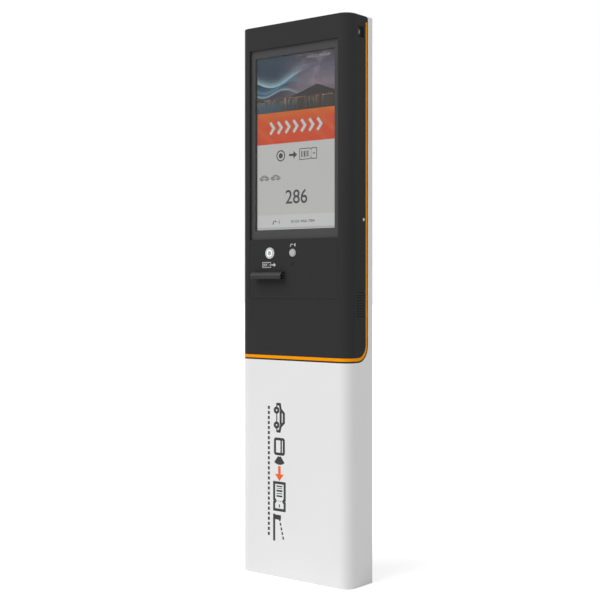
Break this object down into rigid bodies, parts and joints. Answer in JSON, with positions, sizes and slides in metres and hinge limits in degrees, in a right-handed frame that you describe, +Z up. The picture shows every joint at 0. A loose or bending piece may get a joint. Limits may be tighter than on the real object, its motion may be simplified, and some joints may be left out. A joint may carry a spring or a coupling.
{
  "type": "parking ticket dispenser",
  "caption": "Slim floor pillar with a display behind glass, a lit ticket button, an intercom button and a hooded ticket mouth.",
  "frame": {"origin": "centre of the four anchor holes, on the ground under the pillar", "axes": "+Z up, +X to the right of a person facing the display, +Y towards the back of the pillar"},
  "size_m": [0.328, 0.1135, 1.31],
  "materials": {
    "white_paint": "satin powder coat",
    "black_paint": "fine matt powder coat",
    "orange_trim": "satin plastic",
    "galvanised": "zinc-plated sheet",
    "fastener": "bright zinc",
    "hinge_black": "matt powder coat",
    "rubber": "matt",
    "roller_rubber": "smooth",
    "circuit_board": "green solder mask",
    "aluminium": "plain",
    "grey_plastic": "moulded",
    "black_plastic": "moulded",
    "brass": "plain",
    "white_plastic": "moulded",
    "motor_steel": "satin",
    "blade_steel": "ground",
    "spring_steel": "plain",
    "paper": "thermal paper",
    "cover_glass": "clear",
    "picture": "lit picture",
    "button_steel": "satin",
    "light_ring": "lit ring",
    "lock_chrome": "bright nickel",
    "lock_black": "black nickel"
  },
  "bodies": {
    "frame": {"housing": "white_paint", "base_plate": "galvanised", "cable_grommet": "rubber", "door_seal": "rubber", "mounting_plate": "galvanised", "spacers": "galvanised", "frame_screws": "fastener", "board_screws": "fastener", "controller_board": "circuit_board", "controller_heatsink": "aluminium", "power_supply": "aluminium", "terminal_strip": "grey_plastic", "intercom_board": "circuit_board", "printer_frame": "galvanised", "platen_bushes": "brass", "feed_motor": "motor_steel", "fixed_blade": "blade_steel", "cutter_drive": "black_plastic", "ticket_chute": "black_plastic", "roll_holder": "galvanised", "roll_cap": "black_plastic", "paper_web": "paper", "lock_keeper": "galvanised", "hinge_frame_leaves": "hinge_black", "hinge_pins": "fastener", "head_spring": "spring_steel"},
    "door": {"hinge_door_leaves": "hinge_black", "door_shell": "black_paint", "edge_trim": "orange_trim", "display_glass": "cover_glass", "glass_gasket": "rubber", "display_carrier": "galvanised", "display_module": "aluminium", "display_picture": "picture", "display_straps": "galvanised", "side_brackets": "galvanised", "side_screws": "fastener", "door_nuts": "fastener", "control_panel": "black_paint", "panel_clamps": "galvanised", "ticket_button_body": "button_steel", "call_button_body": "button_steel", "panel_nuts": "fastener", "microphone": "rubber", "ticket_hood": "black_paint", "speaker": "black_plastic", "lock_cup": "black_paint", "lock_body": "lock_black"},
    "ticket_button": {"ticket_button_cap": "button_steel", "ticket_light_ring": "light_ring"},
    "call_button": {"call_button_cap": "button_steel"},
    "lock_barrel": {"lock_core": "lock_chrome", "lock_cam": "lock_chrome"},
    "platen": {"platen_roller": "roller_rubber", "platen_gear": "white_plastic"},
    "idler": {"idler_gear": "white_plastic"},
    "motor_pinion": {"motor_gear": "brass"},
    "head": {"print_head": "aluminium"},
    "blade": {"moving_blade": "blade_steel"},
    "roll": {"paper_roll": "paper"}
  },
  "joints": [
    {"name": "door_swing", "type": "hinge", "parent": "frame", "child": "door", "pos_m": [-0.162, 0.0268, 0.9], "axis": [0, 0, -1], "range_deg": [0, 110]},
    {"name": "ticket_button_press", "type": "slide", "parent": "door", "child": "ticket_button", "axis": [0, 1, 0], "range_m": [0, 0.0025], "stiffness_N_per_m": 400, "springref_m": -0.001},
    {"name": "call_button_press", "type": "slide", "parent": "door", "child": "call_button", "axis": [0, 1, 0], "range_m": [0, 0.0015], "stiffness_N_per_m": 500, "springref_m": -0.001},
    {"name": "lock_turn", "type": "hinge", "parent": "door", "child": "lock_barrel", "pos_m": [0.133, -0.0022, 1.272], "axis": [1, 0, 0], "range_deg": [0, 90]},
    {"name": "roll_turn", "type": "hinge", "parent": "frame", "child": "roll", "pos_m": [-0.069, -0.0005, 0.6201], "axis": [1, 0, 0], "continuous": true},
    {"name": "platen_turn", "type": "hinge", "parent": "frame", "child": "platen", "pos_m": [-0.069, -0.0095, 0.7206], "axis": [1, 0, 0], "continuous": true},
    {"name": "idler_turn", "type": "hinge", "parent": "frame", "child": "idler", "pos_m": [-0.02, 0.00571, 0.72946], "axis": [1, 0, 0], "continuous": true},
    {"name": "motor_turn", "type": "hinge", "parent": "frame", "child": "motor_pinion", "pos_m": [-0.02, 0.0185, 0.7291], "axis": [1, 0, 0], "continuous": true},
    {"name": "head_lift", "type": "hinge", "parent": "frame", "child": "head", "pos_m": [-0.069, 0.0145, 0.7031], "axis": [1, 0, 0], "range_deg": [0, 8], "stiffness_Nm_per_rad": 0.5, "springref_deg": -5.73, "deforming": ["head_spring"]},
    {"name": "blade_slide", "type": "slide", "parent": "frame", "child": "blade", "axis": [0, 0, -1], "range_m": [0, 0.0045]}
  ],
  "couplings": [
    {"joint": "platen_turn", "follows": "roll_turn", "ratio": -4.75},
    {"joint": "idler_turn", "follows": "roll_turn", "ratio": 5.7},
    {"joint": "motor_turn", "follows": "roll_turn", "ratio": -9.5}
  ]
}
